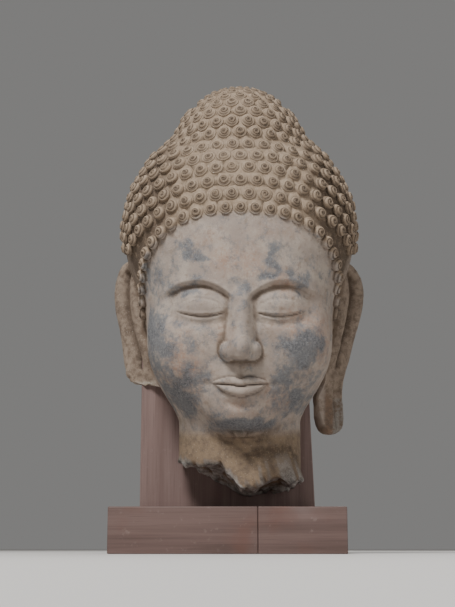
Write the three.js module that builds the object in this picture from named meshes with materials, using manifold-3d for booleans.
// Carved stone Buddha head on the wooden mount that holds it up: a two-board foot,
// a post behind the neck, and the head itself, which is one stone broken off at the neck.
// Millimetres, +Z up, the face looks along -Y. Origin: centre of the foot's underside.
import * as THREE from 'three';
import { ConvexHull } from 'three/addons/math/ConvexHull.js';
import { mergeVertices } from 'three/addons/utils/BufferGeometryUtils.js';
import Module from 'manifold-3d';

const wasm = await Module();
wasm.setup();

const rad = THREE.MathUtils.degToRad;

// ---------------------------------------------------------------- driving dimensions
const GAP = 0.3;                       // clearance between pieces that touch
const FOOT = { width: 228.6, depth: 230, height: 44.45, seam: 28.9 };
const POST = { front: 25, depth: 70, top: 212, left: -94.5, rightAtFoot: 94.3, rightAtTop: 88.0 };
const HEAD = { x: 13, y: 5, z: 259, pitch: rad(8) };  // middle of the eye line
const CORE_DROP = 20;                  // the head's surface is found outward from this far below it

// the face is built on thirds: hairline to brow, brow to nose, nose to chin are each one unit
const UNIT = 74;
const HAIRLINE = 1.25 * UNIT;
const BROW = 0.25 * UNIT;
const NOSE = -0.75 * UNIT;
const MOUTH = NOSE - UNIT / 3;
const CHIN = -1.75 * UNIT;
const FACE_HALF = 102;                 // widest half of the face, at the cheekbones
const FACE_DEPTH = 107;

const SKULL = { y: 14, z: 86, rx: 126, ry: 115, rz: 126 };
const TOPKNOT = { y: 4, z: 171, rx: 71, ry: 74, rz: 75 };
const NAPE = { y: 28, z: 8, rx: 96, ry: 84, rz: 92 };
const CHEEK = { x: 50, y: -48, z: -42, rx: 38, ry: 40, rz: 40 };
const CHIN_BALL = { x: 0, y: -76, z: -106, rx: 27, ry: 29, rz: 22 };
const NECK = { rx: 65, ry: 58, top: 190 };
const SHOULDER = { x: 45, y: -28, z: 66, rx: 38, ry: 30, rz: 26 };   // its start, in the part's frame
const MELT = { cheek: 26, knot: 10, nape: 20, hair: 12, shoulder: 14, neck: 14 };   // fillets between forms
const BREAK = { low: 24, height: 59, leftSlope: 0.52, rightStep: 5.5, rightRise: 10, front: 22, fade: 60 };
const BITES = [{ x: -8, half: 26, depth: 13 }, { x: 52, half: 24, depth: 10 }, { x: 24, half: 12, depth: 4 }];
const EYE = { x: 41, z: -3, half: 26, tall: 14.5, hollow: 7, ball: 8.5 };
const BROW_ARCH = { x: 46, half: 46, top: BROW + 8, fall: 24 };
const NOSE_TIP = { z: -44, half: 14.5, tall: 15, out: 27.5 };
const NOSE_WING = { x: 13.5, z: -47, half: 8, tall: 9.5, out: 16.5 };
const LIPS = { half: 30, upper: 9.5, lower: 10.5, upperOut: 5, lowerOut: 5.5 };

const CURL = { pitch: 16, pitchBehind: 20.5, row: 15.3, topRow: 13, nearest: 12.5, radius: 4.3, shoulder: 4.4,
  height: 6.2, sides: 4 };
const RINGS = { below: 9, tiltLow: rad(34), tiltHigh: rad(8), behind: 8 };   // planes of the rows of curls
const VALLEY = { reach: 13, fromCurl: 7.4, apart: 5.6, plain: 16, tries: 9000, lowest: rad(-48) };
const HAIR_EDGE = { drop: 50, lon: 58, power: 2.6 };   // how the hairline falls towards the ears

// ---------------------------------------------------------------- small helpers
const clamp01 = (t) => Math.min(1, Math.max(0, t));
const ease = (t) => { const u = clamp01(t); return u * u * (3 - 2 * u); };
const mix = (a, b, t) => a + (b - a) * t;
const hump = (t) => { const u = Math.min(1, Math.abs(t)); return (1 - u * u) ** 2; };
const softMin = (a, b, k) => {
  const h = Math.max(k - Math.abs(a - b), 0) / k;
  return Math.min(a, b) - h * h * k / 4;
};
const softMax = (a, b, k) => -softMin(-a, -b, k);

// distance to an ellipsoid, negative inside
function ellipsoid(px, py, pz, { x = 0, y, z, rx, ry, rz }) {
  const [dx, dy, dz] = [px - x, py - y, pz - z];
  const k0 = Math.hypot(dx / rx, dy / ry, dz / rz);
  const k1 = Math.hypot(dx / rx ** 2, dy / ry ** 2, dz / rz ** 2);
  return k0 * (k0 - 1) / Math.max(k1, 1e-6);
}

// value at x on a smooth line through [x, value] pairs, whose x falls from first to last
function along(pairs, x) {
  let i = 1;
  while (i < pairs.length - 1 && x < pairs[i][0]) i += 1;
  const [x0, v0] = pairs[i - 1];
  const [x1, v1] = pairs[i];
  return mix(v0, v1, clamp01((x - x0) / (x1 - x0)));
}

// head frame (x right, y back, z up, origin on the eye line) to the part's frame
const cosPitch = Math.cos(HEAD.pitch);
const sinPitch = Math.sin(HEAD.pitch);
function toPart(x, y, z) {
  return new THREE.Vector3(
    HEAD.x + x,
    HEAD.y + y * cosPitch - z * sinPitch,
    HEAD.z + y * sinPitch + z * cosPitch,
  );
}

// ---------------------------------------------------------------- the head's main form
// full oval mask of the face: wide at the cheekbones, drawn in towards the chin
function mask(x, y, z) {
  const oval = (t, p) => Math.max(1 - Math.abs(THREE.MathUtils.clamp(t, -1, 1)) ** p, 1e-6) ** (1 / p);
  const wide = z > 12
    ? FACE_HALF * oval((z - 12) / 150, 2.2)
    : FACE_HALF * oval((z - 12) / (12 - CHIN + 1), 2.5);
  let deep = z > 5
    ? FACE_DEPTH * oval((z - 5) / 150, 2.6)
    : FACE_DEPTH * oval((z - 5) / (5 - CHIN + 3), 3.6);
  if (y > 0) deep *= mix(1, 0.45, ease(-z / 50));
  const p = 2.25;
  const r = ((Math.abs(x) / wide) ** p + (Math.abs(y) / deep) ** p) ** (1 / p);
  return Math.max((r - 1) * Math.min(wide, deep) * 0.9, z - 150);
}

function hairGround(x, y, z) {
  const top = softMin(ellipsoid(x, y, z, SKULL), ellipsoid(x, y, z, TOPKNOT), MELT.knot);
  return softMin(top, ellipsoid(x, y, z, NAPE), MELT.nape);
}

function headForm(x, y, z) {
  const s = Math.abs(x);
  let d = softMin(mask(x, y, z), ellipsoid(s, y, z, CHEEK), MELT.cheek);
  d = softMin(d, ellipsoid(s, y, z, CHIN_BALL), MELT.cheek);
  return softMin(d, hairGround(x, y, z), MELT.hair);
}

// height of the broken underside of the neck over a place in the part's frame
function breakHeight(x, y) {
  const slope = BREAK.height + BREAK.leftSlope * Math.max(BREAK.low - x, 0)
    + BREAK.rightStep * ease((x - BREAK.low) / 13) + BREAK.rightRise * ease((x - 60) / 16);
  const bites = BITES.reduce((sum, bite) => sum + bite.depth * hump((x - bite.x) / bite.half), 0);
  return slope + bites * clamp01((BREAK.front - y) / BREAK.fade);
}

function stoneForm(p) {
  const dy = p.y - HEAD.y;
  const dz = p.z - HEAD.z;
  const head = headForm(p.x - HEAD.x, dy * cosPitch + dz * sinPitch, -dy * sinPitch + dz * cosPitch);
  let neck = (Math.hypot((p.x - HEAD.x) / NECK.rx, dy / NECK.ry) - 1) * NECK.ry;
  neck = softMin(neck, ellipsoid(p.x, p.y, p.z, SHOULDER), MELT.shoulder);
  neck = Math.max(neck, p.z - NECK.top);
  return Math.max(softMin(head, neck, MELT.neck), breakHeight(p.x, p.y) - p.z);
}

// ---------------------------------------------------------------- relief of the face
// how far the face stands forward of its mask, over head-frame x and z: a calm, regular
// face with lowered lids, a straight nose one eye wide and a mouth one and a half eyes wide
function eyesRelief(s, z) {
  const browLine = BROW_ARCH.top - BROW_ARCH.fall * ((s - BROW_ARCH.x) / BROW_ARCH.half) ** 2;
  const under = ease((browLine - z) / 7) * (1 - ease((-8 - z) / 18));
  const beside = ease((s - 5) / 12) * (1 - ease((s - 64) / 20));
  const ball = ((s - EYE.x) / EYE.half) ** 2 + ((z - EYE.z) / EYE.tall) ** 2;
  return EYE.ball * Math.max(1 - ball, 0) ** 0.55 - EYE.hollow * under * beside;
}

// a ridge that widens downward, a ball at the tip and a wing on each side, cut off level below
function noseRelief(s, z) {
  const down = clamp01((20 - z) / 66);
  const ridge = mix(5, 25.5, down) * clamp01(1 - (s / mix(13, 19.5, down)) ** 2) ** 1.25 * ease((30 - z) / 22);
  const dome = ({ x = 0, z: middle, half, tall, out }) => out
    * clamp01(1 - ((s - x) / half) ** 2 - ((z - middle) / tall) ** 2) ** 0.5;
  const blended = softMax(softMax(ridge, dome(NOSE_TIP), 6), dome(NOSE_WING), 3);
  const lifted = 6 / 4 + 3 / 4;                      // how far two soft maxima raise the flat mask
  return Math.max(blended - lifted, 0) * ease((z - NOSE + 1) / 4.5);
}

// a soft mound, a fuller lip below a thinner one, and a hollow under both
function mouthRelief(x, z) {
  const narrowing = clamp01(1 - (x / LIPS.half) ** 2);
  const upper = (z - MOUTH) / (1 + LIPS.upper * narrowing);
  const lower = (MOUTH - z) / (1 + LIPS.lower * narrowing);
  const lip = (t, out) => (t > 0 && t < 1 ? out * narrowing ** 0.5 * Math.sin(Math.PI * (0.15 + 0.85 * t)) : 0);
  const mound = 5 * hump(Math.hypot(x / 44, (z - MOUTH) / 32));
  const hollow = 2.6 * hump(Math.hypot(x / 26, (z - MOUTH + 18.5) / 8));
  return mound - hollow + lip(upper, LIPS.upperOut) + lip(lower, LIPS.lowerOut);
}

const faceRelief = (x, z) => eyesRelief(Math.abs(x), z) + noseRelief(Math.abs(x), z) + mouthRelief(x, z);

// ---------------------------------------------------------------- meshes
// closed mesh from rings of points, each ring with as many points as it needs
function bridgeRings(rings) {
  const points = [];
  const starts = [];
  for (const ring of rings) {
    starts.push(points.length);
    points.push(...ring);
  }
  const faces = [];
  for (let k = 0; k + 1 < rings.length; k += 1) {
    const a = rings[k].length;
    const b = rings[k + 1].length;
    let i = 0;
    let j = 0;
    while ((a > 1 && i < a) || (b > 1 && j < b)) {
      const stepA = b === 1 || (a > 1 && i < a && (j >= b || (i + 1) / a <= (j + 1) / b));
      const p = starts[k] + (i % a);
      const q = starts[k + 1] + (j % b);
      if (stepA) {
        faces.push([p, starts[k] + ((i + 1) % a), q]);
        i += 1;
      } else {
        faces.push([p, starts[k + 1] + ((j + 1) % b), q]);
        j += 1;
      }
    }
  }
  return { points, faces };
}

function toSolid({ points, faces }) {
  const vertProperties = new Float32Array(points.flatMap((p) => [p.x, p.y, p.z]));
  const triVerts = new Uint32Array(faces.flat());
  return new wasm.Manifold(new wasm.Mesh({ numProp: 3, vertProperties, triVerts }));
}

function geometryToSolid(geometry) {
  const bare = geometry.clone();
  bare.deleteAttribute('normal');
  bare.deleteAttribute('uv');
  const merged = mergeVertices(bare, 1e-4);
  return new wasm.Manifold(new wasm.Mesh({
    numProp: 3,
    vertProperties: new Float32Array(merged.attributes.position.array),
    triVerts: new Uint32Array(merged.index.array),
  }));
}

function solidToGeometry(solid) {
  const mesh = solid.getMesh();
  const geometry = new THREE.BufferGeometry();
  geometry.setAttribute('position', new THREE.BufferAttribute(mesh.vertProperties, 3));
  geometry.setIndex(new THREE.BufferAttribute(mesh.triVerts, 1));
  geometry.computeVertexNormals();
  return geometry;
}

// where a ray from inside leaves a form
function reach(start, direction, form, far = 330) {
  let near = 0;
  let end = far;
  const p = new THREE.Vector3();
  for (let n = 0; n < 26; n += 1) {
    const half = (near + end) / 2;
    p.copy(start).addScaledVector(direction, half);
    if (form(p) < 0) near = half; else end = half;
  }
  return p.copy(start).addScaledVector(direction, near);
}

// ---------------------------------------------------------------- curls of hair
// hairline height over the turn from the front, in the head frame
const hairEdge = (turn) => HAIRLINE - HAIR_EDGE.drop * (Math.abs(turn) / rad(HAIR_EDGE.lon)) ** HAIR_EDGE.power;

const headFormAt = (p) => headForm(p.x, p.y, p.z);

function hairPoint(turn, z) {
  const start = new THREE.Vector3(0, SKULL.y, z);
  return reach(start, new THREE.Vector3(Math.sin(turn), -Math.cos(turn), 0), headFormAt, 200);
}

function isHair(p) {
  const turn = Math.atan2(Math.abs(p.x), -(p.y - SKULL.y));
  const underEar = Math.abs(p.x) > 80 && p.y > -24 && p.y < 34 && p.z < 62;
  return !underEar && p.z > -30 && p.z > hairEdge(turn) + 6;
}

// rings of curls on planes that tip back, higher in front; rows stop at the hairline
function curlSites() {
  const sites = [];
  const far = (p, gap) => sites.every((s) => s.point.distanceTo(p) > gap);
  const place = (point, size) => sites.push({ point, size });
  const hairline = [];
  for (let turn = -78; turn <= 78; turn += 0.25) {
    hairline.push(hairPoint(rad(turn), hairEdge(rad(turn)) + 7.5));
  }
  const middle = (hairline.length - 1) / 2;
  place(hairline[middle], 1);
  for (const way of [-1, 1]) {
    let last = hairline[middle];
    for (let n = middle + way; n >= 0 && n < hairline.length; n += way) {
      if (hairline[n].distanceTo(last) < CURL.pitch - 1 || hairline[n].z < -14) continue;
      last = hairline[n];
      place(last, 0.95);
    }
  }
  // places up the front of the head, one for each ring
  const front = [];
  for (let rise = 20; rise <= 90; rise += 0.1) {
    const out = new THREE.Vector3(0, -Math.cos(rad(rise)), Math.sin(rad(rise)));
    front.push(reach(new THREE.Vector3(0, SKULL.y, 0), out, headFormAt));
  }
  const firstRow = front.find((p) => p.z > HAIRLINE + 7.5);
  const ringFronts = [];
  for (let k = RINGS.below; k >= 1; k -= 1) {
    ringFronts.push(firstRow.clone().add(new THREE.Vector3(0, 0, -k * CURL.row)));
  }
  let travelled = 0;
  let next = CURL.row;
  for (let n = front.indexOf(firstRow) + 1; n < front.length; n += 1) {
    travelled += front[n].distanceTo(front[n - 1]);
    if (travelled < next) continue;
    ringFronts.push(front[n]);
    next += ringFronts.length > 14 ? CURL.topRow : CURL.row;
  }
  ringFronts.forEach((start, k) => {
    const tilt = mix(RINGS.tiltLow, RINGS.tiltHigh, ease((k - RINGS.below) / 8));
    const y = mix(SKULL.y + RINGS.behind, TOPKNOT.y, ease((k - RINGS.below) / 8));
    const centre = new THREE.Vector3(0, y, start.z + (start.y - y) * Math.tan(tilt));
    const ring = [];
    for (let turn = 0; turn <= 180; turn += 0.5) {
      const a = rad(turn);
      const out = new THREE.Vector3(Math.sin(a), -Math.cos(a) * Math.cos(tilt), Math.cos(a) * Math.sin(tilt));
      if (headFormAt(centre) < 0) ring.push(reach(centre, out, headFormAt, 200));
    }
    let walked = 0;
    let due = k % 2 ? CURL.pitch / 2 : 0;
    ring.forEach((p, n) => {
      if (n) walked += p.distanceTo(ring[n - 1]);
      if (walked < due) return;
      const behind = ease((p.y + 20) / 80);
      due = Math.max(due, walked) + mix(CURL.pitch, CURL.pitchBehind, behind);
      for (const side of [1, -1]) {
        const q = new THREE.Vector3(p.x * side, p.y, p.z);
        if (isHair(q) && far(q, CURL.nearest)) place(q, 1);
      }
    });
  });
  const crown = reach(new THREE.Vector3(0, TOPKNOT.y, TOPKNOT.z), new THREE.Vector3(0, 0, 1), headFormAt);
  if (far(crown, 9)) place(crown, 1);
  return sites;
}

// one curl: a raised middle and a ring of shoulder points round it
function curlPoints({ point, size }) {
  const e = 0.5;
  const normal = new THREE.Vector3(
    headForm(point.x + e, point.y, point.z) - headForm(point.x - e, point.y, point.z),
    headForm(point.x, point.y + e, point.z) - headForm(point.x, point.y - e, point.z),
    headForm(point.x, point.y, point.z + e) - headForm(point.x, point.y, point.z - e),
  ).normalize();
  const across = new THREE.Vector3(0, 0, 1).cross(normal).normalize();
  if (across.lengthSq() < 0.5) across.set(1, 0, 0);
  const up = new THREE.Vector3().crossVectors(normal, across);
  const points = [point.clone().addScaledVector(normal, CURL.height * size)];
  for (let n = 0; n < CURL.sides; n += 1) {
    const a = Math.PI * (2 * n + 1) / CURL.sides;
    points.push(point.clone()
      .addScaledVector(across, CURL.radius * size * Math.cos(a))
      .addScaledVector(up, CURL.radius * size * Math.sin(a))
      .addScaledVector(normal, CURL.shoulder * size));
  }
  return points.map((p) => toPart(p.x, p.y, p.z));
}

// ---------------------------------------------------------------- head, without the ears
const core = toPart(0, 0, -CORE_DROP);
const origin = toPart(0, 0, 0);

function surfacePoint(turn, rise) {
  const out = toPart(
    Math.sin(turn) * Math.cos(rise),
    -Math.cos(turn) * Math.cos(rise),
    Math.sin(rise),
  ).sub(origin);
  return reach(core, out, stoneForm);
}

function toHead(p) {
  const y = p.y - HEAD.y;
  const z = p.z - HEAD.z;
  return new THREE.Vector3(p.x - HEAD.x, y * cosPitch + z * sinPitch, -y * sinPitch + z * cosPitch);
}

// points over the face, closer together where the features are
function facePoints() {
  const frontX = [0, 4.5, 9, 12.5, 16, 19.5, 23, 28, 34, 41, 49, 57, 65, 74, 84];
  const half = frontX.map((x) => Math.asin(x / FACE_DEPTH)).concat([rad(58)]);
  const turns = half.slice(1).map((a) => -a).concat(half);
  const heights = [-127, -120, -113, -106, -99, -93, -88.5, -84.5, -81, -77.5, -74, -69.5, -64, -57, -54.5,
    -50, -46, -39, -30, -22, -15, -9, -3, 4, 11, 18, 25, 33, 46, 62, 78, 89];
  const points = [];
  for (const height of heights) {
    const rise = Math.atan2(height + CORE_DROP, 100);
    for (const turn of turns) {
      const p = surfacePoint(turn, rise);
      const { x, z } = toHead(p);
      if (z > hairEdge(turn) + 2) continue;
      const lift = z > CHIN ? faceRelief(x, z) : 0;
      points.push(new THREE.Vector3(p.x, p.y - lift * cosPitch, p.z - lift * sinPitch));
    }
  }
  return points;
}

// rings of points under the chin, down the neck and over the break
function neckPoints() {
  const points = [];
  for (const deg of [-86, -81, -77, -74, -72, -70, -67.5, -65, -62, -58, -53.5]) {
    for (let turn = -180; turn < 180; turn += 15) points.push(surfacePoint(rad(turn), rad(deg)));
  }
  return points;
}

// a solid over points seen from the core: the hull of their directions gives the faces
function starSolid(points) {
  const directions = points.map((p, n) => {
    const wobble = 1e-5 * Math.sin(n * 12.9898);
    return p.clone().sub(core).normalize().addScaledVector(new THREE.Vector3(1, 0.7, 0.4), wobble).normalize();
  });
  const index = new Map(directions.map((d, n) => [d, n]));
  const hull = new ConvexHull().setFromPoints(directions);
  const faces = hull.faces.map((face) => {
    const corners = [];
    let { edge } = face;
    do {
      corners.push(index.get(edge.head().point));
      edge = edge.next;
    } while (edge !== face.edge);
    return corners;
  });
  return toSolid({ points, faces });
}

function headBody() {
  const sites = curlSites();
  const points = [...facePoints(), ...neckPoints(), ...sites.flatMap(curlPoints)];
  const roots = sites.map(({ point }) => toPart(point.x, point.y, point.z));
  const farFrom = (list, p, gap) => list.every((q) => q.distanceToSquared(p) > gap * gap);
  // valley points between the curls, and open ones over the plain stone behind the ears
  const golden = Math.PI * (3 - Math.sqrt(5));
  for (let n = 0; n < VALLEY.tries; n += 1) {
    const rise = Math.asin(1 - (2 * n + 1) / VALLEY.tries);
    const turn = ((n * golden) % (2 * Math.PI)) - Math.PI;
    if (rise < VALLEY.lowest) continue;
    const p = surfacePoint(turn, rise);
    const free = farFrom(roots, p, VALLEY.reach)
      ? farFrom(points, p, VALLEY.plain)
      : farFrom(roots, p, VALLEY.fromCurl) && farFrom(points, p, VALLEY.apart);
    if (free) points.push(p);
  }
  return starSolid(points);
}

// ---------------------------------------------------------------- ears
// outer and inner edge of each ear over height, from the head's middle plane
const EARS = {
  right: {
    side: 1,
    outer: [[322, 117], [313, 131], [300, 138.5], [282, 141], [262, 137.5], [240, 131], [212, 122.5],
      [186, 114.5], [166, 112.5], [147, 114.5], [136, 113], [129, 108], [127, 103]],
    inner: [[322, 104], [300, 96], [195, 94], [179, 93], [168, 85.5], [150, 87], [140, 90], [132, 94], [127, 101]],
  },
  left: {                                            // its lobe is broken off
    side: -1,
    outer: [[322, 124], [313, 134], [300, 138.5], [284, 140.5], [262, 138.5], [240, 133], [212, 129],
      [192, 125.5], [181, 120]],
    inner: [[322, 104], [300, 96], [181, 94]],
  },
};

// an ear leans back as it falls; above the lobe its inner edge lies in front and its rim behind
const EAR = { topZ: 320, middle: 8, lean: 0.1, lobe: 8, sweepIn: 24, sweepOut: 21, thick: 15, ringStep: 12 };

function earSolid({ side, outer, inner }) {
  const top = outer[0][0];
  const bottom = outer[outer.length - 1][0];
  const steps = Math.round((top - bottom) / EAR.ringStep);
  const rings = [];
  for (let n = 0; n <= steps; n += 1) {
    const z = mix(top, bottom, n / steps);
    const wide = ease((z - 170) / 60);
    const middle = EAR.middle + (EAR.topZ - z) * EAR.lean;
    const from = new THREE.Vector2(along(inner, z), middle - mix(EAR.lobe, EAR.sweepIn, wide));
    const to = new THREE.Vector2(along(outer, z), middle + mix(EAR.lobe, EAR.sweepOut, wide));
    const run = to.clone().sub(from);
    const out = new THREE.Vector2(run.y, -run.x).normalize();
    const bowl = ease((z - 215) / 30) * ease((312 - z) / 20);
    const groove = ease((z - 185) / 25) * ease((316 - z) / 12);
    const section = [
      [0, 0], [0.2, -1 - 9 * bowl], [0.46, 1 + 2 * bowl], [0.66, -5 * groove], [0.88, 4 * groove + 1],
      [1, 0], [0.94, -8], [0.5, 1 - EAR.thick], [0, -EAR.thick],
    ];
    rings.push(section.map(([t, h]) => new THREE.Vector3(
      HEAD.x + side * (from.x + run.x * t + out.x * h),
      from.y + run.y * t + out.y * h,
      z,
    )));
  }
  const centreOf = (ring) => ring.reduce((sum, p) => sum.add(p), new THREE.Vector3()).divideScalar(ring.length);
  rings.unshift([centreOf(rings[0])]);
  rings.push([centreOf(rings[rings.length - 1])]);
  const mesh = bridgeRings(rings);
  if (side > 0) mesh.faces.forEach((f) => f.reverse());
  return toSolid(mesh);
}

// ---------------------------------------------------------------- the wooden mount
function slab(x0, x1, y0, y1, z0, z1, rightAtTop = x1) {
  const outline = new THREE.Shape([
    new THREE.Vector2(x0, z0), new THREE.Vector2(x1, z0),
    new THREE.Vector2(rightAtTop, z1), new THREE.Vector2(x0, z1),
  ]);
  const geometry = new THREE.ExtrudeGeometry(outline, { depth: y1 - y0, bevelEnabled: false });
  geometry.rotateX(Math.PI / 2);
  geometry.translate(0, y1, 0);
  return geometry;
}

// ---------------------------------------------------------------- the stone
// the stone is flat where it sits: on the post's top and against the post's front
function stoneHead() {
  const seat = new THREE.BoxGeometry(400, 300, POST.top + GAP);
  seat.translate(0, POST.front - GAP + 150, (POST.top + GAP) / 2);
  const clearance = slab(POST.left - GAP, POST.rightAtFoot + GAP, POST.front - GAP,
    POST.front + POST.depth, 0, POST.top + GAP);
  return solidToGeometry(headBody()
    .subtract(geometryToSolid(seat))
    .add(earSolid(EARS.left))
    .add(earSolid(EARS.right))
    .subtract(geometryToSolid(clearance)));
}

const stone = (color) => new THREE.MeshStandardMaterial({ color, roughness: 0.85, metalness: 0 });
const wood = (color) => new THREE.MeshStandardMaterial({ color, roughness: 0.5, metalness: 0 });

const part = new THREE.Group();
function add(name, geometry, material) {
  const mesh = new THREE.Mesh(geometry, material);
  mesh.name = name;
  part.add(mesh);
}

const half = FOOT.width / 2;
const front = -FOOT.depth / 2;
const back = FOOT.depth / 2;
add('foot_board_left', slab(-half, FOOT.seam - GAP / 2, front, back, 0, FOOT.height), wood('#75605c'));
add('foot_board_right', slab(FOOT.seam + GAP / 2, half, front, back, 0, FOOT.height), wood('#75605c'));
add('mount_post', slab(POST.left, POST.rightAtFoot, POST.front, POST.front + POST.depth,
  FOOT.height + GAP, POST.top, POST.rightAtTop), wood('#7a645f'));
add('stone_head', stoneHead(), stone('#a3917f'));

export default part;
